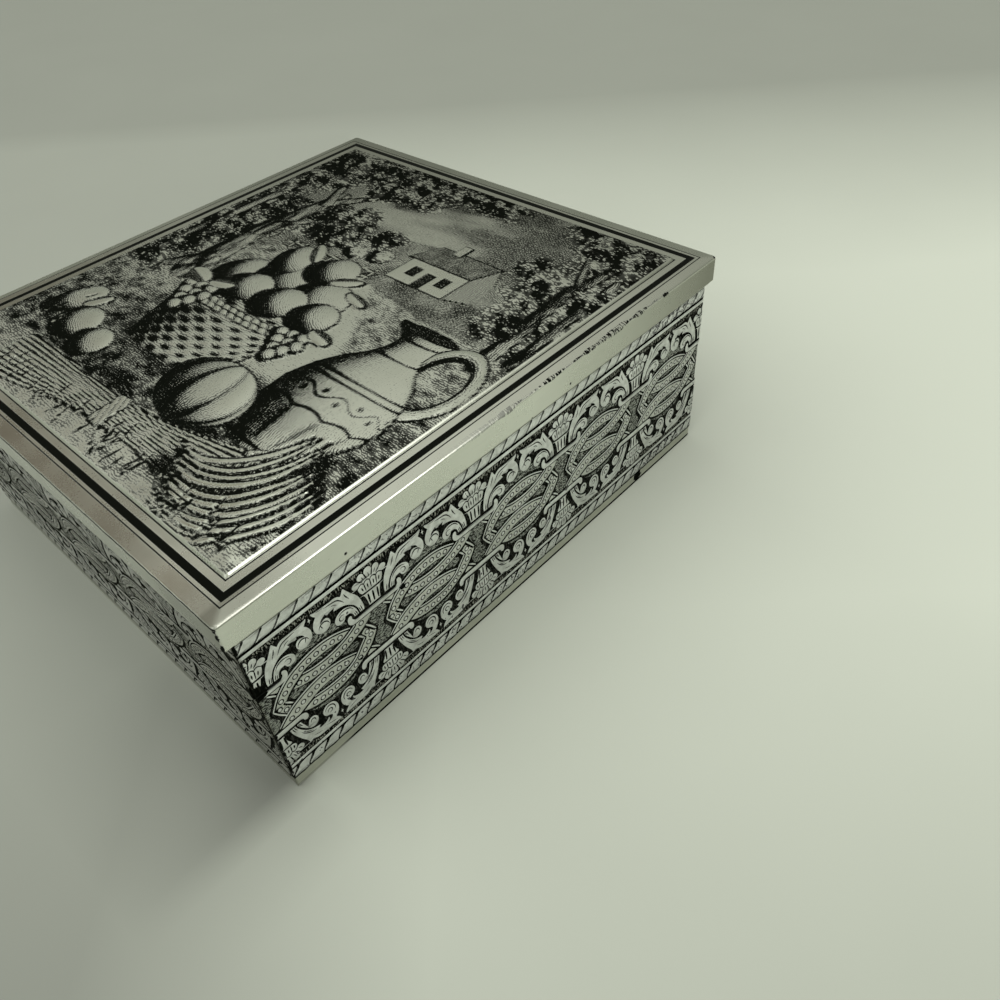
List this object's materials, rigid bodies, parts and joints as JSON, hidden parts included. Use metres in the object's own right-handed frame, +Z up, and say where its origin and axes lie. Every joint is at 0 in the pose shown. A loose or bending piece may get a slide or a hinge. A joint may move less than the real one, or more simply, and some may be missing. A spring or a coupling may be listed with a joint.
{
  "type": "biscuit tin",
  "caption": "Low, nearly square tinplate box with a hinged, panelled lid and a traditional strapwork frieze round its walls.",
  "frame": {"origin": "on the ground below the middle of the closed tin's outline", "axes": "+Z up, +X to the tin's right seen from the front, +Y from the front to the hinge at the back"},
  "size_m": [0.2026, 0.2196, 0.0846],
  "materials": {
    "printed_tinplate": "silver tinplate printed in black, satin varnish",
    "bare_tinplate": "plain tinplate, dulled by age",
    "steel_wire": "drawn steel wire"
  },
  "bodies": {
    "tin_body": {"body_front_sheet": "printed_tinplate", "body_rear_sheet": "printed_tinplate", "base_panel": "bare_tinplate", "hinge_strap_left": "bare_tinplate", "hinge_strap_right": "bare_tinplate"},
    "tin_lid": {"lid": "printed_tinplate", "hinge_wire": "steel_wire"}
  },
  "joints": [
    {"name": "lid_hinge", "type": "hinge", "parent": "tin_body", "child": "tin_lid", "pos_m": [0, 0.10818, 0.0743], "axis": [-1, 0, 0], "range_deg": [0, 180]}
  ]
}
